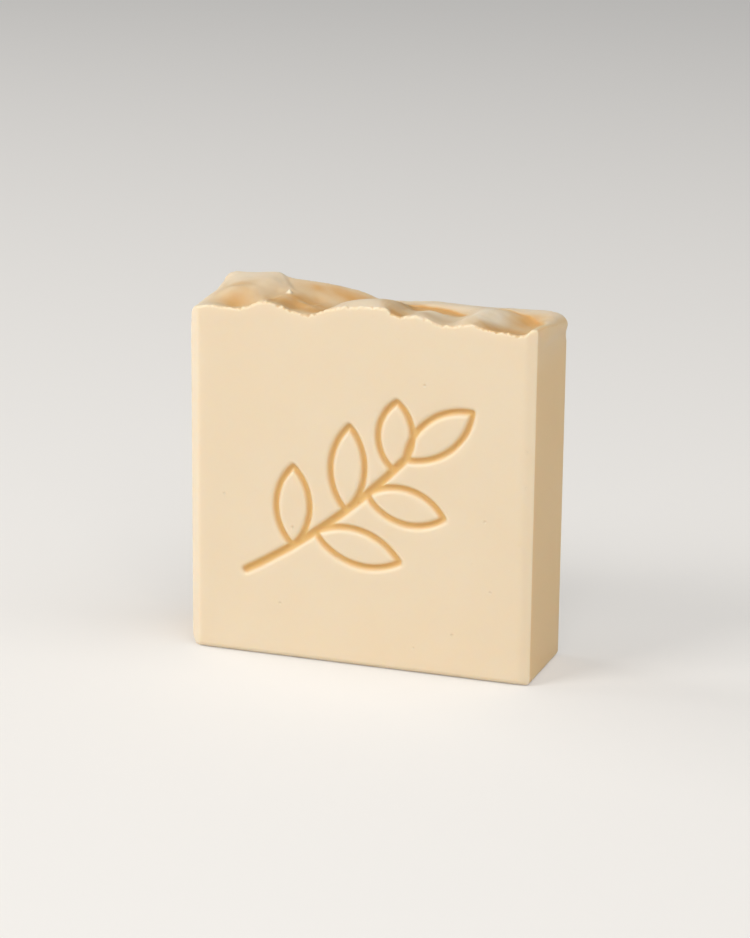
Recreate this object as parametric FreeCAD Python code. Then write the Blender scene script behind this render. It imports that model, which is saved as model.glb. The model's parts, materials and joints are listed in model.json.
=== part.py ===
"""A hand-cut bar of soap, standing on its narrow base: one solid piece.

The bar is sliced from a loaf that was poured into a straight-sided mould. The two broad faces are the cuts,
the two narrow sides and the base lie against the mould, and the top is the free surface of the pour, left in
swells and hollows by a spoon. The cut faces have bevelled edges, and a sprig is pressed into the front.

Millimetres. +X runs to the right of the front face, +Y from the front face to the back one, +Z up.
The origin is at the centre of the base.
"""

import FreeCAD, Part
import math
import os

# The bar
bar_width = 75.0
bar_thickness = 23.5
pour_height = 73.5

# Edges: the bevels beside the cut faces, and the corners that the mould and the pour leave. The right bevel is
# slanted: it reaches further along the front face than into the thickness.
left_bevel = 2.5
right_bevel = 2.1
right_bevel_depth = 0.9
back_bevel = 1.4
base_bevel = 1.0
left_base_radius = 2.2
right_base_radius = 1.2
left_rim_radius = 1.2
right_rim_radius = 2.6
# How steep the pour still is where it reaches the mould wall, in degrees from level
rim_angle = 72.0

# How far the wet pour evens itself out, along the width and across the thickness, and how much of its height
# each place takes from the one before it, from itself and from the one after it
settling_along = 0.8
settling_across = 1.0
settling_shares = [(-1, 0.25), (0, 0.5), (1, 0.25)]

# How the poured top is built: the spacing of its stations, and the room kept round and over the bar
station_spacing = 1.6
rim_stations = 3
row_spacing = 2.0
overhang = 1.0
headroom = 8.0

# The pressed sprig: its grooves, whose walls slope in towards the floor
stem_width = 2.2
leaf_width = 1.8
groove_slope = 0.6
groove_depth = 1.1
groove_rise = 0.5

# The pressed sprig: its stem, measured from the middle of the sprig, and its leaves
sprig_height = 37.5
sprig_lean = 52.0
stem_below = 31.0
stem_above = 13.0
stem_bow = 1.8
leaf_bow = 3.7
top_leaf_length = 18.0
# Each side leaf: height on the stem, side of the stem (-1 left, 1 right), length, angle from the stem
side_leaves = [
    (-19.0, -1, 17.0, 52.0),
    (-13.0, 1, 19.0, 52.0),
    (-4.5, -1, 18.0, 50.0),
    (1.5, 1, 17.0, 50.0),
    (9.5, -1, 14.5, 50.0),
]

# The top, as outlines across the bar, from the front one to the back one. Each point is a place right of the
# middle, in hundredths of half the width, and a height above the level of the pour, in millimetres.
front_outline = [
    (-100, -0.9), (-96, 0.0), (-88, 0.6), (-80, 0.7), (-72, 0.45), (-64, 1.1), (-55, 2.4), (-49, 2.2),
    (-40, 1.0), (-29, 0.3), (-21, 1.3), (-11, 2.5), (3, 2.9), (13, 3.2), (19, 2.1), (23, 1.5),
    (29, 2.1), (38, 1.7), (45, 0.6), (52, 0.5), (63, 1.2), (75, 0.3), (85, 0.1), (92, -0.4), (94, 0.0),
    (98, 2.1), (100, 2.7),
]
near_outline = [
    (-100, -0.5), (-96, 0.1), (-88, 0.4), (-77, 0.0), (-69, -0.1), (-63, 0.7), (-56, 1.9), (-49, 1.7),
    (-40, 0.3), (-32, 0.6), (-25, 0.1), (-19, 1.4), (-11, 2.8), (3, 3.4), (12, 3.1), (19, 1.4), (24, 1.0),
    (32, 1.9), (40, 0.9), (49, 0.2), (59, 1.7), (65, 1.4), (75, -0.4), (85, -0.9), (92, -0.6),
    (95, 0.4), (98, 2.4), (100, 2.9),
]
middle_outline = [
    (-100, 0.2), (-91, 1.4), (-83, 2.6), (-72, 2.7), (-65, 1.7), (-59, 0.8), (-52, 1.6), (-45, 0.7),
    (-37, -0.1), (-31, 0.4), (-24, -0.5), (-16, 0.7), (-8, 2.1), (5, 2.8), (13, 2.3), (21, 0.4),
    (32, 0.8), (43, -0.3), (51, -0.1), (60, 1.5), (68, 0.7), (77, -0.8), (88, -1.1), (93, -0.5),
    (97, 1.3), (100, 2.0),
]
far_outline = [
    (-100, 0.5), (-91, 2.1), (-83, 3.0), (-69, 3.1), (-64, 2.3), (-57, 1.4), (-51, 1.5), (-43, 0.7),
    (-32, 0.3), (-21, -0.4), (-13, 0.1), (0, 1.4), (11, 1.3), (21, -0.3), (35, -0.4), (45, -0.4),
    (53, 0.5), (61, 1.3), (69, 0.4), (80, -0.6), (87, -0.7), (91, 0.2), (95, 0.8), (100, 1.1),
]
rim_outline = [
    (-100, 1.7), (-91, 2.8), (-72, 3.3), (-67, 2.9), (-60, 2.0), (-45, 1.6), (-29, 1.0), (-16, 0.1),
    (0, -0.4), (13, -0.2), (24, 0.5), (37, 0.4), (53, 0.4), (67, 0.5), (77, 0.0), (85, 0.2), (100, 0.4),
]
back_outline = [
    (-100, 3.4), (-94, 3.1), (-83, 3.2), (-72, 3.4), (-67, 3.3), (-63, 2.7), (-43, 2.2), (-31, 1.7),
    (-20, 1.0), (-6, -0.5), (11, -0.2), (24, 0.1), (53, -0.2), (80, 0.1), (100, 0.1),
]
# Where each outline lies: its place behind the middle, in hundredths of half the thickness
outlines = [
    (-100, front_outline),
    (-60, near_outline),
    (-17, middle_outline),
    (26, far_outline),
    (64, rim_outline),
    (100, back_outline),
]


def through(points, at):
    """The value at one place on a smooth line through points, which rises and falls only where they do."""
    if at <= points[0][0]:
        return points[0][1]
    if at >= points[-1][0]:
        return points[-1][1]
    slopes = [(b[1] - a[1]) / (b[0] - a[0]) for a, b in zip(points, points[1:])]
    turns = [0.0]
    for before, after in zip(slopes, slopes[1:]):
        turns.append(2 * before * after / (before + after) if before * after > 0 else 0.0)
    turns.append(0.0)
    i = max(k for k in range(len(points) - 1) if points[k][0] <= at)
    span = points[i + 1][0] - points[i][0]
    t = (at - points[i][0]) / span
    start = (1 + 2 * t) * (1 - t) ** 2 * points[i][1] + t * (1 - t) ** 2 * span * turns[i]
    end = t * t * (3 - 2 * t) * points[i + 1][1] + t * t * (t - 1) * span * turns[i + 1]
    return start + end


def rim_drop(x):
    """How far the pour curls down towards the mould wall on its side of the middle."""
    radius = left_rim_radius if x < 0 else right_rim_radius
    inside = bar_width / 2 - radius
    reach = min(max((abs(x) - inside) / radius, 0.0), math.sin(math.radians(rim_angle)))
    return radius * (1 - math.sqrt(1 - reach * reach))


def spooned(x, y):
    """Height that the spoon leaves above the level of the pour."""
    from_middle = 200 * x / bar_width
    across = [(place, through(outline, from_middle)) for place, outline in outlines]
    return through(across, 200 * y / bar_thickness)


def top_height(x, y):
    """Height of the settled top above the base: each place evened out with those a short way round it."""
    settled = 0.0
    for step_along, share_along in settling_shares:
        for step_across, share_across in settling_shares:
            height = spooned(x + step_along * settling_along, y + step_across * settling_across)
            settled += share_along * share_across * height
    return pour_height + settled - rim_drop(x)


def stations():
    """Places along the width at which the top is shaped, closer together where it curls down at the wall."""
    half = bar_width / 2
    first = -half + left_rim_radius
    last = half - right_rim_radius
    count = max(2, round((last - first) / station_spacing))
    middle = [first + (last - first) * k / count for k in range(count + 1)]
    curl = [math.sin(math.pi / 2 * k / rim_stations) for k in range(1, rim_stations + 1)]
    left = [first - left_rim_radius * c for c in reversed(curl)]
    right = [last + right_rim_radius * c for c in curl]
    return [-half - overhang] + left + middle + right + [half + overhang]


def rows():
    """Places across the thickness at which the top is shaped."""
    count = max(2, round(bar_thickness / row_spacing))
    inside = [-bar_thickness / 2 + bar_thickness * k / count for k in range(count + 1)]
    return [-bar_thickness / 2 - overhang] + inside + [bar_thickness / 2 + overhang]


def air_over_top():
    """Everything over the poured top, as one block with the top as its lower face."""
    grid = [[FreeCAD.Vector(x, y, top_height(x, y)) for y in rows()] for x in stations()]
    surface = Part.BSplineSurface()
    surface.interpolate(grid)
    return surface.toShape().extrude(FreeCAD.Vector(0, 0, 2 * headroom))


def corner(centre, start_degrees, radius):
    """A quarter circle of the front view, from one angle on by 90 degrees."""
    spots = []
    for degrees in (start_degrees, start_degrees + 45, start_degrees + 90):
        turn = math.radians(degrees)
        spots.append(centre + FreeCAD.Vector(radius * math.cos(turn), 0, radius * math.sin(turn)))
    return Part.Arc(*spots)


def front_view():
    """The bar as seen from the front: a rectangle whose two lower corners are rounded by the mould."""
    half, front = bar_width / 2, -bar_thickness / 2
    top = pour_height + headroom
    left, right = left_base_radius, right_base_radius
    edges = [
        Part.LineSegment(FreeCAD.Vector(-half, front, top), FreeCAD.Vector(-half, front, left)),
        corner(FreeCAD.Vector(-half + left, front, left), 180, left),
        Part.LineSegment(FreeCAD.Vector(-half + left, front, 0), FreeCAD.Vector(half - right, front, 0)),
        corner(FreeCAD.Vector(half - right, front, right), 270, right),
        Part.LineSegment(FreeCAD.Vector(half, front, right), FreeCAD.Vector(half, front, top)),
        Part.LineSegment(FreeCAD.Vector(half, front, top), FreeCAD.Vector(-half, front, top)),
    ]
    outline = Part.Face(Part.Wire([edge.toShape() for edge in edges]))
    return outline.extrude(FreeCAD.Vector(0, bar_thickness, 0))


def plan_view():
    """The bar as seen from above: a rectangle with its four corners bevelled."""
    half, deep = bar_width / 2, bar_thickness / 2
    corners = [
        (-half + left_bevel, -deep),
        (half - right_bevel, -deep),
        (half, -deep + right_bevel_depth),
        (half, deep - back_bevel),
        (half - back_bevel, deep),
        (-half + back_bevel, deep),
        (-half, deep - back_bevel),
        (-half, -deep + left_bevel),
    ]
    points = [FreeCAD.Vector(x, y, 0) for x, y in corners + corners[:1]]
    return Part.Face(Part.makePolygon(points)).extrude(FreeCAD.Vector(0, 0, pour_height + headroom))


def side_view():
    """The bar as seen from its side: a rectangle with its two lower corners bevelled."""
    deep = bar_thickness / 2
    top = pour_height + headroom
    corners = [
        (-deep + base_bevel, 0),
        (deep - base_bevel, 0),
        (deep, base_bevel),
        (deep, top),
        (-deep, top),
        (-deep, base_bevel),
    ]
    points = [FreeCAD.Vector(-bar_width / 2, y, z) for y, z in corners + corners[:1]]
    return Part.Face(Part.makePolygon(points)).extrude(FreeCAD.Vector(bar_width, 0, 0))


def blank():
    """The bevelled slice, still taller than the pour."""
    return front_view().common(plan_view()).common(side_view())


def on_sprig(along, aside):
    """A point of the sprig on the front face, from its height on the stem and its distance right of it."""
    lean = math.radians(sprig_lean)
    x = along * math.sin(lean) + aside * math.cos(lean)
    z = along * math.cos(lean) - aside * math.sin(lean)
    return FreeCAD.Vector(x, -bar_thickness / 2, sprig_height + z)


def bow_radius(half_length, bow):
    """Radius of an arc, from half the distance between its ends and how far it bows out between them."""
    return (half_length * half_length + bow * bow) / (2 * bow)


def stem_aside(height):
    """How far the bowed stem lies right of the straight line between its ends, at a height on it."""
    half = (stem_below + stem_above) / 2
    radius = bow_radius(half, stem_bow)
    from_middle = height - (stem_above - stem_below) / 2
    return math.sqrt(radius * radius - from_middle * from_middle) - radius + stem_bow


def groove_half_width(width, depth):
    """Half the width of a groove at a depth under the face, or over the face where the depth is negative."""
    return width / 2 - groove_slope * depth / groove_depth


def groove(start, end, bow, width):
    """The cutter of a groove with sloping walls from start to end, bowed to the right of that direction."""
    inward = FreeCAD.Vector(0, 1, 0)
    half = (end - start).Length / 2
    right = (end - start).normalize().cross(-inward)
    radius = bow_radius(half, bow)
    centre = (start + end) * 0.5 + right * (bow - radius)
    outward = (start - centre).normalize()
    profile = []
    for depth, side in ((groove_depth, -1), (groove_depth, 1), (-groove_rise, 1), (-groove_rise, -1)):
        profile.append(start + outward * (side * groove_half_width(width, depth)) + inward * depth)
    section = Part.Face(Part.makePolygon(profile + profile[:1]))
    swing = 2 * math.degrees(math.asin(half / radius))
    axis = inward if outward.cross(end - centre).dot(inward) > 0 else -inward
    return section.revolve(centre, axis, swing)


def groove_end(point, width):
    """The cutter of the round end of a groove."""
    over = point + FreeCAD.Vector(0, -groove_rise, 0)
    depth = groove_depth + groove_rise
    wide, narrow = groove_half_width(width, -groove_rise), groove_half_width(width, groove_depth)
    return Part.makeCone(wide, narrow, depth, over, FreeCAD.Vector(0, 1, 0))


def leaf(base, tip):
    """The cutters of one leaf outline: two grooves bowed apart between its base and its tip."""
    sides = [groove(base, tip, leaf_bow, leaf_width), groove(tip, base, leaf_bow, leaf_width)]
    return sides + [groove_end(base, leaf_width), groove_end(tip, leaf_width)]


def sprig():
    """The cutters of the pressed sprig: a stem, one leaf at its top and the leaves beside it."""
    foot = on_sprig(-stem_below, 0)
    top = on_sprig(stem_above, 0)
    cutters = [groove(foot, top, stem_bow, stem_width), groove_end(foot, stem_width)]
    cutters += leaf(top, on_sprig(stem_above + top_leaf_length, 0))
    for height, side, length, angle in side_leaves:
        reach = math.radians(angle)
        aside = stem_aside(height)
        base = on_sprig(height, aside)
        tip = on_sprig(height + length * math.cos(reach), aside + side * length * math.sin(reach))
        cutters += leaf(base, tip)
    return cutters


def soap_bar():
    """The whole bar."""
    body = blank().cut(air_over_top())
    stamp = sprig()
    body = body.cut(stamp[0].multiFuse(stamp[1:]))
    return body.removeSplitter().Solids[0]


os.makedirs("parts", exist_ok=True)
bar = soap_bar()
bar.exportStep("parts/soap_bar.step")
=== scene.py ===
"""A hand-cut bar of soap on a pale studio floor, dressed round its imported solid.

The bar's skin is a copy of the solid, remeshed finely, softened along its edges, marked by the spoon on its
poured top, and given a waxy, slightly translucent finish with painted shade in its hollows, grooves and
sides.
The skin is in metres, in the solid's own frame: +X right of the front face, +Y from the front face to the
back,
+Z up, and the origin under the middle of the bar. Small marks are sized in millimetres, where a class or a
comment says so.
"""

import json
import logging
import math
from dataclasses import dataclass, field
from enum import Enum

import bpy
import numpy as np
from mathutils import Matrix, Vector, noise

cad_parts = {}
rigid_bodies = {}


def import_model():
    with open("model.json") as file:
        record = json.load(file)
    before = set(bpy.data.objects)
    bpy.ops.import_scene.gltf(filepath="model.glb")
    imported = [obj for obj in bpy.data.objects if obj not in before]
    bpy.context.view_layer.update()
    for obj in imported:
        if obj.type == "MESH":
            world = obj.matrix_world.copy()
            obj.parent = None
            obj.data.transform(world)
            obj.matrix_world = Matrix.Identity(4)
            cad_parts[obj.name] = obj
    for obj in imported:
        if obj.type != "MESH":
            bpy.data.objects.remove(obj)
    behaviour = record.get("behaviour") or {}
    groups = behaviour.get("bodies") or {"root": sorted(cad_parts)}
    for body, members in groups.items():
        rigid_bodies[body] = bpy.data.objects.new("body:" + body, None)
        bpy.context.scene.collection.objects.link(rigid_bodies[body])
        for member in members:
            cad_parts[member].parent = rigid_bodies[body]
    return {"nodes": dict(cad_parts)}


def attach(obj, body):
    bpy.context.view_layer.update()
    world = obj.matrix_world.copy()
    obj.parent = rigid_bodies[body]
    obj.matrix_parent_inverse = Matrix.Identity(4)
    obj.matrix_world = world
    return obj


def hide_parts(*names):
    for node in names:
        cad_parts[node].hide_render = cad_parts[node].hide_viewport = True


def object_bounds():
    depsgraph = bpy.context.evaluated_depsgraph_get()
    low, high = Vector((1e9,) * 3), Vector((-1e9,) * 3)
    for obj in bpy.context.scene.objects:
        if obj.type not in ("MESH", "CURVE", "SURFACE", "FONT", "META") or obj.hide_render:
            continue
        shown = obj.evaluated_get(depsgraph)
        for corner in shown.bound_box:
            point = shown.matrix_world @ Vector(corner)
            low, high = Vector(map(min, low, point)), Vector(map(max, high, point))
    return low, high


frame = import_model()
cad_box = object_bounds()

log = logging.getLogger("soap")

MILLIMETRE = 0.001
BODY = "root"
BAR_NODE = "soap_bar"
# What the skin notes at each of its points, for the finish to read: its painted shade in a hollow, and its
# golden painted shade in a groove or on the sides
HOLLOW_SHADE = "hollow_shade"
GOLDEN_SHADE = "golden_shade"


class Shading(Enum):
    """How a mesh is shaded: round all over, or flat."""

    SMOOTH = "smooth"
    FLAT = "flat"


class Sight(Enum):
    """The ways in which the floor is seen: straight, in a reflection, or through something clear."""

    STRAIGHT = "Is Camera Ray"
    REFLECTED = "Is Glossy Ray"
    THROUGH = "Is Transmission Ray"


def smooth_step(share: np.ndarray) -> np.ndarray:
    """Eases a share from nothing to one.

    Args:
        share: the shares, of any size.

    Returns:
        The eased shares, held between 0 and 1.
    """
    held = np.clip(share, 0.0, 1.0)
    return held * held * (3.0 - 2.0 * held)


def ripple(places: np.ndarray, reach: float, seed: float) -> np.ndarray:
    """Reads an even, cloudy ripple at each place.

    Args:
        places: rows of x, y and z.
        reach: the ripple's typical length, in the same unit.
        seed: moves the ripple, so that each use has its own.

    Returns:
        Values from about -1 to 1.
    """
    shift = Vector((seed, seed, seed))
    return np.array([noise.noise(Vector(place) / reach + shift) for place in places.tolist()])


def along_and_across(x: np.ndarray, y: np.ndarray, turn: float) -> tuple[np.ndarray, np.ndarray]:
    """Reads places along and across a turned line through the middle.

    Args:
        x: places right of the middle.
        y: places behind the middle.
        turn: how far the line is turned to the left, in degrees.

    Returns:
        How far each place is along the line, and how far to its left.
    """
    cosine, sine = math.cos(math.radians(turn)), math.sin(math.radians(turn))
    return x * cosine + y * sine, y * cosine - x * sine


def way_to(azimuth: float, elevation: float) -> Vector:
    """Works out the way from the bar to a lamp or to the camera.

    Args:
        azimuth: degrees round the bar, 0 in front of it and 90 on its right.
        elevation: degrees above the floor.

    Returns:
        The way, one metre long.
    """
    turn, lift = math.radians(azimuth), math.radians(elevation)
    return Vector((math.sin(turn) * math.cos(lift), -math.cos(turn) * math.cos(lift), math.sin(lift)))


def deselect_all() -> None:
    """Leaves no object selected and none active."""
    for thing in bpy.data.objects:
        thing.select_set(False)
    bpy.context.view_layer.objects.active = None


def pick(piece: bpy.types.Object) -> None:
    """Selects one object alone and makes it active.

    Args:
        piece: the object to work on.
    """
    deselect_all()
    piece.select_set(True)
    bpy.context.view_layer.objects.active = piece


def apply_modifier(piece: bpy.types.Object, name: str) -> None:
    """Applies one modifier of a piece.

    Args:
        piece: the object that has the modifier.
        name: the modifier's name.
    """
    pick(piece)
    bpy.ops.object.modifier_apply(modifier=name)


def shade(piece: bpy.types.Object, shading: Shading) -> None:
    """Shades a piece all over in one way.

    Args:
        piece: the object to shade.
        shading: round or flat.
    """
    pick(piece)
    if shading is Shading.SMOOTH:
        bpy.ops.object.shade_smooth()
    else:
        bpy.ops.object.shade_flat()


def read_places(piece: bpy.types.Object) -> np.ndarray:
    """Reads where the points of a piece are.

    Args:
        piece: the object.

    Returns:
        Rows of x, y and z, in metres.
    """
    flat = np.empty(3 * len(piece.data.vertices), dtype=np.float32)
    piece.data.vertices.foreach_get("co", flat)
    return flat.reshape(-1, 3).astype(float)


def read_facing(piece: bpy.types.Object) -> np.ndarray:
    """Reads which way the points of a piece face.

    Args:
        piece: the object.

    Returns:
        Rows of x, y and z, each one long.
    """
    flat = np.empty(3 * len(piece.data.vertices), dtype=np.float32)
    piece.data.vertex_normals.foreach_get("vector", flat)
    return flat.reshape(-1, 3)


def write_places(piece: bpy.types.Object, places: np.ndarray) -> None:
    """Moves the points of a piece.

    Args:
        piece: the object.
        places: rows of x, y and z, in metres.
    """
    piece.data.vertices.foreach_set("co", places.astype(np.float32).ravel())
    piece.data.update()


def highest_around(grid: np.ndarray, reach: float) -> np.ndarray:
    """Finds the highest value within a reach of each cell.

    Args:
        grid: the values.
        reach: how far to look, in cells.

    Returns:
        The highest values.
    """
    steps = int(reach)
    padded = np.pad(grid, steps, mode="edge")
    highest = grid.copy()
    for across in range(-steps, steps + 1):
        for along in range(-steps, steps + 1):
            if math.hypot(across, along) > reach:
                continue
            shifted = padded[steps + across:, steps + along:][:grid.shape[0], :grid.shape[1]]
            highest = np.maximum(highest, shifted)
    return highest


def blur(grid: np.ndarray, reach: float) -> np.ndarray:
    """Evens out a grid along both of its directions.

    Args:
        grid: the values.
        reach: how far the evening reaches, in cells.

    Returns:
        The evened grid.
    """
    # Three reaches on either side hold nearly all of the weight
    steps = int(3 * reach)
    weights = np.exp(-0.5 * (np.arange(-steps, steps + 1) / reach) ** 2)
    weights /= weights.sum()
    padded = np.pad(grid, steps, mode="edge")
    along = np.apply_along_axis(lambda line: np.convolve(line, weights, mode="valid"), 0, padded)
    return np.apply_along_axis(lambda line: np.convolve(line, weights, mode="valid"), 1, along)


@dataclass(frozen=True)
class SoapFinish:
    """Cream soap: waxy, with light that wanders a little under its surface, and painted shade in its
    hollows, grooves and sides.
    """

    name: str = "cream soap"
    colour: tuple[float, float, float, float] = (0.86, 0.735, 0.555, 1.0)
    # Painted shade in the hollows of the top: tan, and golden brown where they are deepest
    tan_shade_colour: tuple[float, float, float, float] = (0.70, 0.51, 0.30, 1.0)
    deep_shade_colour: tuple[float, float, float, float] = (0.65, 0.37, 0.14, 1.0)
    # The share of the painted shade at which a hollow is all tan; past it the brown sets in
    tan_share: float = 0.5
    # Golden painted shade on the floors of the grooves, and on the sides and underside
    golden_shade_colour: tuple[float, float, float, float] = (0.82, 0.53, 0.20, 1.0)
    roughness: float = 0.42
    sheen: float = 0.3
    sheen_colour: tuple[float, float, float, float] = (1.0, 0.88, 0.70, 1.0)
    glow: float = 1.0
    glow_depth: float = 1.1 * MILLIMETRE
    glow_spread: tuple[float, float, float] = (1.0, 0.88, 0.72)
    # Faint clouds in the colour, and sparse pinholes that the cut opened
    cloud_colour: tuple[float, float, float, float] = (0.85, 0.70, 0.50, 1.0)
    clouds_per_metre: float = 55.0
    cloud_detail: float = 3.0
    cloud_bounds: tuple[float, float] = (0.35, 0.65)
    cloud_share: float = 0.35
    pinholes_per_metre: float = 150.0
    pinhole_radius: float = 0.06
    pinhole_depth: float = 0.2 * MILLIMETRE

    def build(self) -> bpy.types.Material:
        """Makes the material.

        Returns:
            The soap material.
        """
        material = bpy.data.materials.new(self.name)
        material.use_nodes = True
        nodes, links = material.node_tree.nodes, material.node_tree.links
        shader = nodes["Principled BSDF"]
        hollow_shade = nodes.new("ShaderNodeAttribute")
        hollow_shade.attribute_name = HOLLOW_SHADE
        golden_shade = nodes.new("ShaderNodeAttribute")
        golden_shade.attribute_name = GOLDEN_SHADE
        # Painted shade: tan and brown in the hollows of the top, golden in the grooves and on the sides
        tan = self.tint(nodes, links, hollow_shade.outputs["Fac"], 0.0, self.tan_share, self.tan_shade_colour)
        deep = self.tint(nodes, links, hollow_shade.outputs["Fac"], self.tan_share, 1.0, self.deep_shade_colour)
        gold_shade = self.tint(nodes, links, golden_shade.outputs["Fac"], 0.0, 1.0, self.golden_shade_colour)
        links.new(tan.outputs["Result"], deep.inputs["A"])
        links.new(deep.outputs["Result"], gold_shade.inputs["A"])
        links.new(gold_shade.outputs["Result"], shader.inputs["Base Color"])
        place = nodes.new("ShaderNodeTexCoord").outputs["Object"]
        self.add_clouds(nodes, links, place, tan.inputs["A"])
        self.add_pinholes(nodes, links, place, shader.inputs["Normal"])
        shader.inputs["Roughness"].default_value = self.roughness
        shader.inputs["Specular IOR Level"].default_value = self.sheen
        shader.inputs["Specular Tint"].default_value = self.sheen_colour
        shader.inputs["Subsurface Weight"].default_value = self.glow
        shader.inputs["Subsurface Radius"].default_value = self.glow_spread
        shader.inputs["Subsurface Scale"].default_value = self.glow_depth
        return material

    def tint(self, nodes: bpy.types.Nodes, links: bpy.types.NodeLinks, share: bpy.types.NodeSocket,
             start: float, full: float, colour: tuple[float, float, float, float]) -> bpy.types.Node:
        """Makes one step of the painted shade, from cream to tan, brown or golden.

        Args:
            nodes: the material's nodes.
            links: the material's links.
            share: how much painted shade each point gets.
            start: the share at which the colour starts to show.
            full: the share at which only the colour is left.
            colour: the colour.

        Returns:
            The mix, whose first colour is still open.
        """
        reach = nodes.new("ShaderNodeMapRange")
        reach.inputs["From Min"].default_value = start
        reach.inputs["From Max"].default_value = full
        mix = nodes.new("ShaderNodeMix")
        mix.data_type = "RGBA"
        mix.inputs["B"].default_value = colour
        links.new(share, reach.inputs["Value"])
        links.new(reach.outputs["Result"], mix.inputs["Factor"])
        return mix

    def add_clouds(self, nodes: bpy.types.Nodes, links: bpy.types.NodeLinks, place: bpy.types.NodeSocket,
                   target: bpy.types.NodeSocket) -> None:
        """Clouds the colour faintly.

        Args:
            nodes: the material's nodes.
            links: the material's links.
            place: where each point of the surface is.
            target: the colour to cloud.
        """
        clouds = nodes.new("ShaderNodeTexNoise")
        clouds.inputs["Scale"].default_value = self.clouds_per_metre
        clouds.inputs["Detail"].default_value = self.cloud_detail
        spread = nodes.new("ShaderNodeMapRange")
        spread.inputs["From Min"].default_value = self.cloud_bounds[0]
        spread.inputs["From Max"].default_value = self.cloud_bounds[1]
        spread.inputs["To Max"].default_value = self.cloud_share
        mix = nodes.new("ShaderNodeMix")
        mix.data_type = "RGBA"
        mix.inputs["A"].default_value = self.colour
        mix.inputs["B"].default_value = self.cloud_colour
        links.new(place, clouds.inputs["Vector"])
        links.new(clouds.outputs["Fac"], spread.inputs["Value"])
        links.new(spread.outputs["Result"], mix.inputs["Factor"])
        links.new(mix.outputs["Result"], target)

    def add_pinholes(self, nodes: bpy.types.Nodes, links: bpy.types.NodeLinks, place: bpy.types.NodeSocket,
                     target: bpy.types.NodeSocket) -> None:
        """Dents the surface with sparse pinholes.

        Args:
            nodes: the material's nodes.
            links: the material's links.
            place: where each point of the surface is.
            target: the shader's normal.
        """
        cells = nodes.new("ShaderNodeTexVoronoi")
        cells.inputs["Scale"].default_value = self.pinholes_per_metre
        wall = nodes.new("ShaderNodeMapRange")
        wall.inputs["From Max"].default_value = self.pinhole_radius
        dent = nodes.new("ShaderNodeBump")
        dent.inputs["Distance"].default_value = self.pinhole_depth
        links.new(place, cells.inputs["Vector"])
        links.new(cells.outputs["Distance"], wall.inputs["Value"])
        links.new(wall.outputs["Result"], dent.inputs["Height"])
        links.new(dent.outputs["Normal"], target)


@dataclass(frozen=True)
class Lip:
    """A crisp edge that the spoon drew across the pour, seen from above: high on the left of its line.

    All its sizes are in millimetres. Its low side gets painted shade.
    """

    line: tuple[tuple[float, float], ...]
    rise: float
    drop: float
    high_reach: float
    low_reach: float
    run_out: float = 1.5
    edge_width: float = 0.22
    # Painted shade on the lip's low side: how strong it is, and how far it reaches
    low_shade: float = 0.0
    low_shade_reach: float = 0.8

    def locate(self, x: np.ndarray, y: np.ndarray) -> tuple[np.ndarray, np.ndarray]:
        """Finds where each place lies beside the lip.

        Args:
            x: places right of the middle, in millimetres.
            y: places behind the middle, in millimetres.

        Returns:
            How far each place is from the line, above nothing on its left, and how much of the lip is left
            there, from 1 along its middle to 0 at its ends.
        """
        nearest = np.full(x.shape, np.inf)
        signed = np.zeros(x.shape)
        travelled = np.zeros(x.shape)
        length = 0.0
        for (start_x, start_y), (end_x, end_y) in zip(self.line, self.line[1:]):
            span = math.hypot(end_x - start_x, end_y - start_y)
            along_x, along_y = (end_x - start_x) / span, (end_y - start_y) / span
            right, back = x - start_x, y - start_y
            along = np.clip(right * along_x + back * along_y, 0.0, span)
            away = np.hypot(right - along * along_x, back - along * along_y)
            side = along_x * back - along_y * right
            closer = away < nearest
            nearest = np.where(closer, away, nearest)
            signed = np.where(closer, np.sign(side) * away, signed)
            travelled = np.where(closer, length + along, travelled)
            length += span
        ends = smooth_step(travelled / self.run_out) * smooth_step((length - travelled) / self.run_out)
        return signed, ends

    def lift(self, x: np.ndarray, y: np.ndarray) -> np.ndarray:
        """Works out how far the lip lifts or lowers the pour at each place.

        Args:
            x: places right of the middle, in millimetres.
            y: places behind the middle, in millimetres.

        Returns:
            The lift at each place, in millimetres.
        """
        signed, ends = self.locate(x, y)
        high = 0.5 * (1.0 + np.tanh(signed / self.edge_width))
        raised = self.rise * np.exp(-np.abs(signed) / self.high_reach) * high
        lowered = self.drop * np.exp(-np.abs(signed) / self.low_reach) * (1.0 - high)
        return ends * (raised - lowered)

    def depth(self, x: np.ndarray, y: np.ndarray) -> np.ndarray:
        """Works out how much painted shade falls under the lip, on its low side.

        Args:
            x: places right of the middle, in millimetres.
            y: places behind the middle, in millimetres.

        Returns:
            The share of the way from cream to brown at each place.
        """
        signed, ends = self.locate(x, y)
        low = 0.5 * (1.0 - np.tanh(signed / self.edge_width))
        return self.low_shade * ends * low * np.exp(-np.abs(signed) / self.low_shade_reach)


@dataclass(frozen=True)
class Dab:
    """A small swell of the pour, or a small hollow where its height is below nothing.

    Its sizes are in millimetres, and its turn in degrees. As a patch of painted shade, its height is its
    share of the way to brown.
    """

    place: tuple[float, float]
    half_length: float
    half_width: float
    turn: float
    height: float

    def lift(self, x: np.ndarray, y: np.ndarray) -> np.ndarray:
        """Works out how far the dab lifts the pour at each place.

        Args:
            x: places right of the middle, in millimetres.
            y: places behind the middle, in millimetres.

        Returns:
            The lift at each place, in millimetres.
        """
        along, across = along_and_across(x - self.place[0], y - self.place[1], self.turn)
        return self.height * np.exp(-((along / self.half_length) ** 2 + (across / self.half_width) ** 2))


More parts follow.
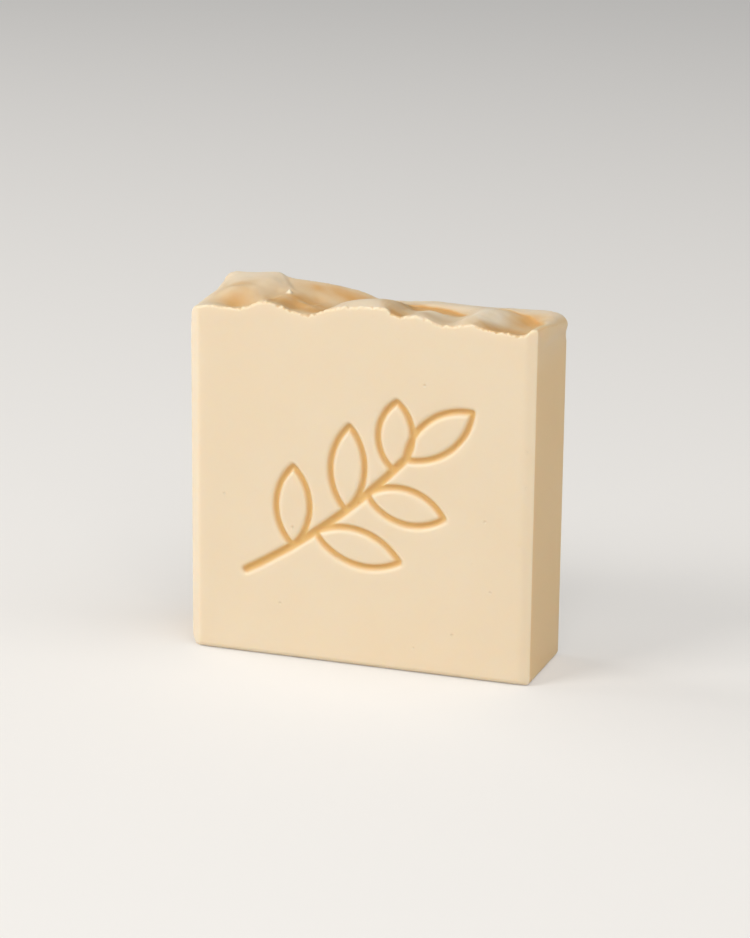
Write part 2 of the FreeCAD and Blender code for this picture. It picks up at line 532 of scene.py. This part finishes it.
@dataclass
class SpoonedTop:
    """The spoon's fine marks on the poured top, beyond the solid's own swells, and the painted shade in its
    hollows.

    All sizes are in millimetres. The chips lie along the front edge, where the knife left it rough.
    """

    lips: tuple[Lip, ...] = (
        # The plateau's right end
        Lip(((-19.4, 3.4), (-20.4, 5.0), (-22.8, 8.3), (-25.2, 11.6), (-27.5, 14.8)),
            rise=0.45, drop=0.1, high_reach=2.4, low_reach=1.2, edge_width=0.7),
        # The front bump's edge over the deep hollow
        Lip(((-19.6, -12.5), (-20.8, -7.0), (-21.0, -3.5), (-19.6, 0.8)),
            rise=0.25, drop=0.35, high_reach=1.2, low_reach=1.4, edge_width=0.8),
        # The right end of the long swell
        Lip(((8.0, -12.3), (5.6, -9.8), (3.8, -7.4), (2.6, -4.6), (2.0, -1.0)),
            rise=0.0, drop=0.0, high_reach=1.2, low_reach=1.6, edge_width=0.8, low_shade=0.3, low_shade_reach=1.6),
        # The low rim along the back
        Lip(((4.0, 6.4), (6.5, 5.9), (10.7, 5.8), (14.2, 5.2), (17.4, 3.2), (19.4, 1.2)),
            rise=0.05, drop=0.35, high_reach=3.0, low_reach=1.2, edge_width=0.25, low_shade=0.9, low_shade_reach=1.3),
        # The lip round the large hollow on the right
        Lip(((22.5, 8.6), (26.0, 8.2), (30.5, 6.6), (33.8, 3.2), (36.0, -1.6), (36.4, -6.0)),
            rise=0.05, drop=0.3, high_reach=2.0, low_reach=1.4, edge_width=0.25, low_shade=0.7, low_shade_reach=0.9),
    )
    dabs: tuple[Dab, ...] = (
        # The plateau's near corner
        Dab((-24.6, 5.0), 3.6, 2.6, -50.0, 0.4),
        # The nib on the ridge, and the small mound in the deep hollow
        Dab((-20.0, 1.9), 0.9, 0.35, 115.0, 0.8),
        Dab((-14.4, -3.4), 3.4, 1.3, -45.0, 0.55),
        Dab((-12.9, 1.9), 3.0, 1.8, -40.0, -0.45),
        Dab((-18.2, -6.2), 2.0, 2.6, 0.0, -0.2),
        # The valley behind the bump, and the dimple over it
        Dab((-28.4, -6.5), 3.6, 1.6, 80.0, -0.3),
        Dab((-31.4, 0.4), 1.4, 1.0, 30.0, -0.3),
        # The hollows on the right
        Dab((7.4, -5.5), 2.4, 3.4, 0.0, 0.5),
        Dab((7.4, -1.2), 2.2, 2.4, 0.0, 0.35),
        Dab((9.0, -8.5), 1.5, 2.6, 0.0, -0.3),
        Dab((13.0, -1.6), 3.0, 2.2, 0.0, 0.45),
        Dab((32.6, 3.4), 3.4, 2.8, -30.0, -0.6),
    )
    # Patches of painted shade in the hollows of the top: the height of each is its share of the way to brown
    golden_shade: tuple[Dab, ...] = (
        # The deep hollow: its front, its dark middle, and the long slope behind it
        Dab((-17.4, -5.4), 5.8, 4.4, 75.0, 1.0),
        Dab((-20.8, -5.0), 3.0, 2.0, 75.0, 0.3),
        Dab((-13.0, 0.6), 6.5, 2.8, -32.0, 0.35),
        Dab((-17.6, 0.6), 2.2, 1.4, -30.0, 0.35),
        Dab((-11.5, -3.0), 2.6, 1.6, -20.0, 0.35),
        Dab((-15.5, -2.0), 1.8, 1.2, -30.0, -0.3),
        Dab((-16.6, 7.9), 2.6, 2.0, 0.0, 0.3),
        Dab((-9.6, -7.6), 4.0, 2.6, 0.0, 0.7),
        Dab((-11.0, 8.0), 8.0, 3.2, -12.0, 0.55),
        Dab((-1.0, 6.0), 8.0, 3.0, -8.0, 0.6),
        # The nib stays pale
        Dab((-20.0, 1.9), 1.0, 0.5, 115.0, -1.4),
        # The valley behind the front bump, and the dimple
        Dab((-29.0, -4.4), 8.0, 3.0, 80.0, 0.42),
        Dab((-31.2, 0.6), 3.0, 1.8, 20.0, 0.3),
        # The notch, the band behind it and the small mound's shade
        Dab((5.6, -6.5), 3.8, 2.2, -60.0, 0.3),
        Dab((8.0, -10.4), 2.5, 1.8, 0.0, 0.4),
        Dab((6.4, -1.3), 2.6, 2.2, 0.0, 0.45),
        Dab((7.4, 3.8), 4.5, 2.0, -15.0, 0.6),
        Dab((14.4, 3.8), 3.0, 1.4, -25.0, 0.7),
        Dab((12.6, -7.4), 5.5, 2.6, 0.0, 0.25),
        Dab((13.0, -2.0), 3.2, 2.2, 0.0, -0.2),
        # The large hollow on the right: its front edge and its far end
        Dab((30.2, -8.6), 6.5, 3.2, 8.0, 0.9),
        Dab((31.0, 1.6), 6.0, 4.0, -30.0, 0.5),
        Dab((32.0, 5.0), 3.6, 2.4, -20.0, 0.45),
        Dab((29.5, -4.4), 2.6, 2.0, 0.0, 0.2),
        Dab((25.4, -0.8), 3.4, 5.4, 0.0, -0.45),
    )
    # A little painted shade over the whole top
    shade_all_over: float = 0.13
    # The painted shade is streaked along the spoon's strokes
    streak_share: float = 0.35
    streak_reach: float = 1.7
    streak_stretch: float = 2.6
    streak_turn: float = -24.0
    streak_seed: float = 23.0
    chip_height: float = 0.55
    chip_reach: float = 1.3
    chip_depth: float = 0.8
    chip_seed: float = 11.0
    small_chip_share: float = 0.6
    small_chip_reach: float = 0.65
    small_chip_seed: float = 17.0
    ripple_height: float = 0.07
    ripple_reach: float = 2.2
    ripple_seed: float = 3.0

    def lift(self, x: np.ndarray, y: np.ndarray, front: float) -> np.ndarray:
        """Works out how far the marks lift the pour at each place.

        Args:
            x: places right of the middle.
            y: places behind the middle.
            front: where the front face lies.

        Returns:
            The lift at each place.
        """
        total = np.zeros(x.shape)
        for mark in self.lips + self.dabs:
            total += mark.lift(x, y)
        nothing = np.zeros(x.shape)
        seen_from_above = np.column_stack((x, y, nothing))
        total += self.ripple_height * ripple(seen_from_above, self.ripple_reach, self.ripple_seed)
        along_front = np.column_stack((x, nothing, nothing))
        chips = ripple(along_front, self.chip_reach, self.chip_seed)
        chips += self.small_chip_share * ripple(along_front, self.small_chip_reach, self.small_chip_seed)
        total += self.chip_height * chips * np.exp(-(((y - front) / self.chip_depth) ** 2))
        return total

    def depth(self, x: np.ndarray, y: np.ndarray) -> np.ndarray:
        """Works out how much painted shade, from cream to brown, each place of the top gets.

        Args:
            x: places right of the middle.
            y: places behind the middle.

        Returns:
            The share of the painted shade, from cream to brown, at each place.
        """
        total = sum(patch.lift(x, y) for patch in self.golden_shade)
        along, across = along_and_across(x, y, self.streak_turn)
        strokes = np.column_stack((along / self.streak_stretch, across, np.zeros(x.shape)))
        streaks = ripple(strokes, self.streak_reach, self.streak_seed)
        total *= 1.0 + self.streak_share * streaks
        return self.shade_all_over + total + sum(lip.depth(x, y) for lip in self.lips)


@dataclass
class SoapBar:
    """The bar: the solid's skin with soft edges, the spoon's marks and the small wear of a hand-cut bar.

    All sizes are in millimetres, except where they say otherwise.
    """

    finish: SoapFinish = field(default_factory=SoapFinish)
    top: SpoonedTop = field(default_factory=SpoonedTop)
    name: str = "soap_bar_skin"
    # In metres: the grid of the even skin, and how near two points of the solid count as one
    voxel: float = 0.32 * MILLIMETRE
    merge_distance: float = 0.01 * MILLIMETRE
    soften_passes: int = 5
    soften_factor: float = 0.5
    # The knife leaves the front of the top sharper: this share of the softening, this near the front face
    cut_edge_share: float = 0.15
    cut_edge_reach: float = 1.2
    # The edges between the front face and its bevels, and the rims over the mould walls, are worn rounder
    worn_passes: int = 22
    worn_reach: float = 1.8
    # The right rim curls over roundest of all: within this reach of the wall and over this height
    rim_passes: int = 50
    rim_reach: float = 3.6
    rim_foot: float = 68.0
    # How wide the bevels are along the front face, left and right
    front_bevels: tuple[float, float] = (2.5, 2.1)
    most_faces: int = 190000
    # The marks of the spoon set in between these heights
    top_fade: tuple[float, float] = (69.5, 72.0)
    # What stands above this height and faces up at least this much belongs to the top
    top_foot: float = 71.5
    top_facing: float = 0.45
    # Hollows are found for the painted shade on a grid of cells, against the highest place within the reach
    hollow_cell: float = 0.5
    hollow_reach: float = 5.0
    hollow_blur: float = 1.5
    # A place this far under what stands round it starts to get painted shade, and this far under it gets the
    # most
    hollow_depth: tuple[float, float] = (0.5, 3.0)
    hollow_shade_share: float = 0.5
    # The curled rim along the mould walls stays free of the painted shade: from here inwards, over this
    # width, the shade sets in
    wall_band: tuple[float, float] = (1.0, 2.5)
    # The sprig's grooves and how strong the golden painted shade on their floors is. They lie this far in
    # from the mould walls, over this height, and no deeper than this many of their own depths
    groove_depth: float = 1.1
    groove_shade: float = 0.95
    groove_margin: float = 4.0
    groove_foot: float = 5.0
    groove_reach: float = 1.2
    # The sides and underside get a warm golden painted shade: how strong it is, and how far under the top it
    # sets in fully
    side_shade_share: float = 0.68
    side_shade_least: float = 0.7
    side_shade_fade: float = 9.0
    # It sets in between these shares of facing the mould, and fades out where a bevel faces front or back:
    # it ends at the first share, and is whole where that is less by the second
    side_shade_facing: tuple[float, float] = (0.3, 0.9)
    side_shade_bevel: tuple[float, float] = (0.5, 0.3)
    # On the sides it ends this far from the wall, and is whole where that is less by the second width
    side_shade_reach: tuple[float, float] = (5.0, 2.0)
    # The pour swells out a little over the right wall of the mould, from this far behind the front face,
    # and fully this much further back
    wall_swell: float = 0.5
    wall_swell_reach: float = 3.0
    wall_swell_start: float = 2.5
    wall_swell_run: float = 5.0

    def skin(self) -> bpy.types.Object:
        """Copies the solid and remeshes it evenly.

        Returns:
            The new skin.
        """
        source = frame["nodes"][BAR_NODE]
        piece = bpy.data.objects.new(self.name, source.data.copy())
        bpy.context.scene.collection.objects.link(piece)
        pick(piece)
        bpy.ops.object.mode_set(mode="EDIT")
        bpy.ops.mesh.select_all(action="SELECT")
        bpy.ops.mesh.remove_doubles(threshold=self.merge_distance)
        bpy.ops.object.mode_set(mode="OBJECT")
        remesh = piece.modifiers.new("even skin", "REMESH")
        remesh.mode = "VOXEL"
        remesh.voxel_size = self.voxel
        apply_modifier(piece, remesh.name)
        return piece

    def soften(self, piece: bpy.types.Object) -> None:
        """Rounds every edge of the skin a little, the worn edges more, and the right rim most.

        Args:
            piece: the skin.
        """
        places = read_places(piece) / MILLIMETRE
        low, high = cad_box[0] / MILLIMETRE, cad_box[1] / MILLIMETRE
        behind, height = places[:, 1] - low.y, places[:, 2]
        from_left, from_right = places[:, 0] - low.x, high.x - places[:, 0]
        knife_cut = (behind < self.cut_edge_reach) & (height > self.top_fade[1])
        self.even_out(piece, np.where(knife_cut, self.cut_edge_share, 1.0), self.soften_passes)
        from_left_edge = np.abs(from_left - self.front_bevels[0])
        from_right_edge = np.abs(from_right - self.front_bevels[1])
        from_edge = np.hypot(np.minimum(from_left_edge, from_right_edge), behind)
        worn = (from_edge < self.worn_reach) & (height < self.top_fade[0])
        from_wall = np.minimum(from_left, from_right)
        worn |= (from_wall < self.worn_reach) & (height > self.top_fade[0]) & (behind > self.worn_reach)
        self.even_out(piece, worn, self.worn_passes)
        rim = (from_right < self.rim_reach) & (height > self.rim_foot) & (behind > self.cut_edge_reach)
        self.even_out(piece, rim, self.rim_passes)

    def even_out(self, piece: bpy.types.Object, share: np.ndarray, passes: int) -> None:
        """Smooths the skin where it has a share in it.

        Args:
            piece: the skin.
            share: each point's share of the smoothing.
            passes: how many times the skin is smoothed.
        """
        group = piece.vertex_groups.new(name="even out")
        for weight in np.unique(share[share > 0.0]):
            group.add(np.flatnonzero(share == weight).tolist(), float(weight), "REPLACE")
        smooth = piece.modifiers.new("even out", "SMOOTH")
        smooth.factor = self.soften_factor
        smooth.iterations = passes
        smooth.vertex_group = group.name
        apply_modifier(piece, smooth.name)
        piece.vertex_groups.clear()

    def mark_top(self, piece: bpy.types.Object) -> None:
        """Presses the marks of the spoon into the top, and lets it swell out over the right wall.

        Args:
            piece: the skin.
        """
        places = read_places(piece) / MILLIMETRE
        low, high = self.top_fade
        share = smooth_step((places[:, 2] - low) / (high - low))
        near = share > 0.0
        front = cad_box[0].y / MILLIMETRE
        lift = self.top.lift(places[near, 0], places[near, 1], front)
        places[near, 2] += share[near] * lift
        from_wall = cad_box[1].x / MILLIMETRE - places[:, 0]
        swell = share * smooth_step(1.0 - from_wall / self.wall_swell_reach)
        swell *= smooth_step((places[:, 1] - front - self.wall_swell_start) / self.wall_swell_run)
        places[:, 0] += self.wall_swell * swell
        write_places(piece, places * MILLIMETRE)

    def thin_out(self, piece: bpy.types.Object) -> None:
        """Takes faces away where the skin is flat.

        Args:
            piece: the skin.
        """
        triangles = sum(len(face.vertices) - 2 for face in piece.data.polygons)
        if triangles <= self.most_faces:
            return
        thin = piece.modifiers.new("fewer faces", "DECIMATE")
        thin.ratio = self.most_faces / triangles
        apply_modifier(piece, thin.name)

    def from_wall(self, places: np.ndarray) -> np.ndarray:
        """Measures how far each point is from the nearer wall of the mould.

        Args:
            places: rows of x, y and z, in millimetres.

        Returns:
            The distances, in millimetres.
        """
        left, right = cad_box[0].x / MILLIMETRE, cad_box[1].x / MILLIMETRE
        return np.minimum(places[:, 0] - left, right - places[:, 0])

    def stands_round(self, places: np.ndarray, on_top: np.ndarray) -> np.ndarray:
        """Finds how high the top stands round each point.

        Args:
            places: rows of x, y and z, in millimetres.
            on_top: which points belong to the top.

        Returns:
            The heights, in millimetres.
        """
        low, high = cad_box[0] / MILLIMETRE, cad_box[1] / MILLIMETRE
        columns = int((high.x - low.x) / self.hollow_cell) + 1
        rows = int((high.y - low.y) / self.hollow_cell) + 1
        column = np.clip(((places[:, 0] - low.x) / self.hollow_cell).astype(int), 0, columns - 1)
        row = np.clip(((places[:, 1] - low.y) / self.hollow_cell).astype(int), 0, rows - 1)
        heights = np.full((columns, rows), low.z)
        np.maximum.at(heights, (column[on_top], row[on_top]), places[on_top, 2])
        highest = highest_around(heights, self.hollow_reach / self.hollow_cell)
        return blur(highest, self.hollow_blur / self.hollow_cell)[column, row]

    def hollow_shade_of(self, places: np.ndarray, facing: np.ndarray) -> np.ndarray:
        """Works out how much painted shade each point gets, by how deep it lies in a hollow of the top.

        Args:
            places: rows of x, y and z, in millimetres.
            facing: which way each point faces.

        Returns:
            Each point's share of the painted shade, from cream to brown.
        """
        on_top = (places[:, 2] > self.top_foot) & (facing[:, 2] > self.top_facing)
        under = self.stands_round(places, on_top) - places[:, 2]
        start, deepest = self.hollow_depth
        depth = np.zeros(len(places))
        depth[on_top] = self.hollow_shade_share * (under[on_top] - start) / (deepest - start)
        inwards = (self.from_wall(places) - self.wall_band[0]) / self.wall_band[1]
        depth = np.maximum(depth, 0.0) * smooth_step(inwards)
        depth[on_top] += self.top.depth(places[on_top, 0], places[on_top, 1])
        return depth

    def groove_shade_of(self, places: np.ndarray) -> np.ndarray:
        """Works out how much golden painted shade each point of the sprig's grooves gets.

        Args:
            places: rows of x, y and z, in millimetres.

        Returns:
            Each point's share of the golden painted shade.
        """
        behind = (places[:, 1] - cad_box[0].y / MILLIMETRE) / self.groove_depth
        in_sprig = (behind < self.groove_reach) & (self.from_wall(places) > self.groove_margin)
        in_sprig &= (places[:, 2] > self.groove_foot) & (places[:, 2] < self.top_fade[0])
        return np.where(in_sprig, self.groove_shade * smooth_step(behind), 0.0)

    def side_shade_of(self, places: np.ndarray, facing: np.ndarray) -> np.ndarray:
        """Works out how much warm, golden painted shade each point gets where it faces a mould wall or down.

        Args:
            places: rows of x, y and z, in millimetres.
            facing: which way each point faces.

        Returns:
            Each point's share of the golden painted shade.
        """
        towards_mould = np.maximum(np.abs(facing[:, 0]), -facing[:, 2])
        start, full = self.side_shade_facing
        gold_shade = smooth_step((towards_mould - start) / (full - start))
        gold_shade *= smooth_step((self.side_shade_bevel[0] - np.abs(facing[:, 1])) / self.side_shade_bevel[1])
        in_reach = smooth_step((self.side_shade_reach[0] - self.from_wall(places)) / self.side_shade_reach[1])
        gold_shade *= np.where(facing[:, 2] < -start, 1.0, in_reach)
        # The painted shade is stronger towards the bottom
        below = smooth_step((self.top_fade[1] - places[:, 2]) / self.side_shade_fade)
        return gold_shade * self.side_shade_share * (self.side_shade_least + (1.0 - self.side_shade_least) * below)

    def note_colours(self, piece: bpy.types.Object) -> None:
        """Notes at each point its painted shade: in a hollow of the top, and golden in a groove or on the
        sides.

        Args:
            piece: the skin.
        """
        places, facing = read_places(piece) / MILLIMETRE, read_facing(piece)
        hollow_shade = self.hollow_shade_of(places, facing)
        golden_shade = np.maximum(self.groove_shade_of(places), self.side_shade_of(places, facing))
        for name, share in ((HOLLOW_SHADE, hollow_shade), (GOLDEN_SHADE, golden_shade)):
            noted = piece.data.attributes.new(name, "FLOAT", "POINT")
            noted.data.foreach_set("value", np.clip(share, 0.0, 1.0).astype(np.float32))

    def build(self) -> bpy.types.Object:
        """Makes the dressed bar.

        Returns:
            The finished piece.
        """
        piece = self.skin()
        self.soften(piece)
        self.mark_top(piece)
        self.thin_out(piece)
        self.note_colours(piece)
        shade(piece, Shading.SMOOTH)
        piece.data.materials.clear()
        piece.data.materials.append(self.finish.build())
        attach(piece, BODY)
        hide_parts(BAR_NODE)
        log.info("%s: %d faces", piece.name, len(piece.data.polygons))
        return piece


@dataclass(frozen=True)
class Lamp:
    """A soft square lamp that looks at the bar: degrees round it and above the floor, metres and watts."""

    name: str
    azimuth: float
    elevation: float
    distance: float
    size: float
    power: float

    def hang(self, aim: Vector) -> None:
        """Hangs the lamp.

        Args:
            aim: what the lamp looks at.
        """
        back = way_to(self.azimuth, self.elevation)
        data = bpy.data.lights.new(self.name, "AREA")
        data.shape = "SQUARE"
        data.size = self.size
        data.energy = self.power
        lamp = bpy.data.objects.new(self.name, data)
        lamp.location = aim + back * self.distance
        lamp.rotation_mode = "QUATERNION"
        lamp.rotation_quaternion = (-back).to_track_quat("-Z", "Y")
        bpy.context.scene.collection.objects.link(lamp)


@dataclass
class Studio:
    """The pale floor, the soft light and the camera. Its sizes are in metres and its angles in degrees."""

    floor_colour: tuple[float, float, float, float] = (0.80, 0.765, 0.715, 1.0)
    # How much paler the floor looks than it is
    floor_lift: float = 0.25
    floor_size: float = 6.0
    floor_roughness: float = 0.9
    floor_sheen: float = 0.1
    world_colour: tuple[float, float, float, float] = (1.0, 1.0, 1.0, 1.0)
    world_strength: float = 0.13
    lamps: tuple[Lamp, ...] = (
        Lamp("key_lamp", azimuth=-41.0, elevation=38.0, distance=1.2, size=0.55, power=6.9),
        Lamp("fill_lamp", azimuth=24.0, elevation=42.0, distance=1.6, size=0.9, power=7.9),
        Lamp("side_lamp", azimuth=-95.0, elevation=25.0, distance=1.6, size=0.9, power=8.6),
        Lamp("top_lamp", azimuth=75.0, elevation=58.0, distance=1.4, size=1.0, power=7.0),
    )
    # The camera's place, worked out from the straight edges that the photograph shows
    aim: Vector = field(default_factory=lambda: Vector((-0.157, 0.0, 39.548)) * MILLIMETRE)
    azimuth: float = 19.172
    elevation: float = 15.455
    roll: float = 0.588
    distance: float = 623.8 * MILLIMETRE
    focal_pixels: float = 3000.0
    frame_height_pixels: float = 938.0
    sensor_millimetres: float = 36.0
    clip: tuple[float, float] = (0.01, 20.0)

    def lighten(self, material: bpy.types.Material) -> None:
        """Makes the floor paler where it is seen, without more light on the bar.

        Args:
            material: the floor's material.
        """
        nodes, links = material.node_tree.nodes, material.node_tree.links
        path = nodes.new("ShaderNodeLightPath")
        seen = path.outputs[Sight.STRAIGHT.value]
        for sight in (Sight.REFLECTED, Sight.THROUGH):
            either = nodes.new("ShaderNodeMath")
            either.operation = "MAXIMUM"
            links.new(seen, either.inputs[0])
            links.new(path.outputs[sight.value], either.inputs[1])
            seen = either.outputs["Value"]
        share = nodes.new("ShaderNodeMath")
        share.operation = "MULTIPLY"
        share.inputs[1].default_value = self.floor_lift
        glow = nodes.new("ShaderNodeEmission")
        mix = nodes.new("ShaderNodeMixShader")
        links.new(seen, share.inputs[0])
        links.new(share.outputs["Value"], mix.inputs["Fac"])
        links.new(nodes["Principled BSDF"].outputs["BSDF"], mix.inputs[1])
        links.new(glow.outputs["Emission"], mix.inputs[2])
        links.new(mix.outputs["Shader"], nodes["Material Output"].inputs["Surface"])

    def floor(self) -> None:
        """Lays the floor."""
        deselect_all()
        bpy.ops.mesh.primitive_plane_add(size=self.floor_size, location=(0.0, 0.0, 0.0))
        floor = bpy.context.active_object
        floor.name = "floor"
        material = bpy.data.materials.new("pale floor")
        material.use_nodes = True
        shader = material.node_tree.nodes["Principled BSDF"]
        shader.inputs["Base Color"].default_value = self.floor_colour
        shader.inputs["Roughness"].default_value = self.floor_roughness
        shader.inputs["Specular IOR Level"].default_value = self.floor_sheen
        self.lighten(material)
        floor.data.materials.append(material)
        shade(floor, Shading.FLAT)

    def light(self) -> None:
        """Lights the bar softly, mostly from the left."""
        world = bpy.data.worlds.new("studio")
        bpy.context.scene.world = world
        world.use_nodes = True
        background = world.node_tree.nodes["Background"]
        background.inputs["Color"].default_value = self.world_colour
        background.inputs["Strength"].default_value = self.world_strength
        for lamp in self.lamps:
            lamp.hang(self.aim)

    def camera(self) -> None:
        """Sets the camera where the photograph was taken from."""
        turn, roll = math.radians(self.azimuth), math.radians(self.roll)
        back = way_to(self.azimuth, self.elevation)
        level = Vector((math.cos(turn), math.sin(turn), 0.0))
        upright = back.cross(level)
        right = level * math.cos(roll) + upright * math.sin(roll)
        up = upright * math.cos(roll) - level * math.sin(roll)
        place = Matrix((right, up, back)).transposed().to_4x4()
        place.translation = self.aim + back * self.distance
        data = bpy.data.cameras.new("camera")
        data.sensor_fit = "AUTO"
        data.sensor_width = self.sensor_millimetres
        data.lens = self.focal_pixels * self.sensor_millimetres / self.frame_height_pixels
        data.clip_start, data.clip_end = self.clip
        camera = bpy.data.objects.new("camera", data)
        camera.matrix_world = place
        bpy.context.scene.collection.objects.link(camera)
        bpy.context.scene.camera = camera

    def build(self) -> None:
        """Sets up the floor, the light, the camera and the colour view."""
        self.floor()
        self.light()
        self.camera()
        bpy.context.scene.view_settings.view_transform = "Standard"
        log.info("studio ready")


def main() -> None:
    """Builds the studio and the bar."""
    logging.basicConfig(level=logging.INFO)
    Studio().build()
    SoapBar().build()


if __name__ == "__main__":
    main()
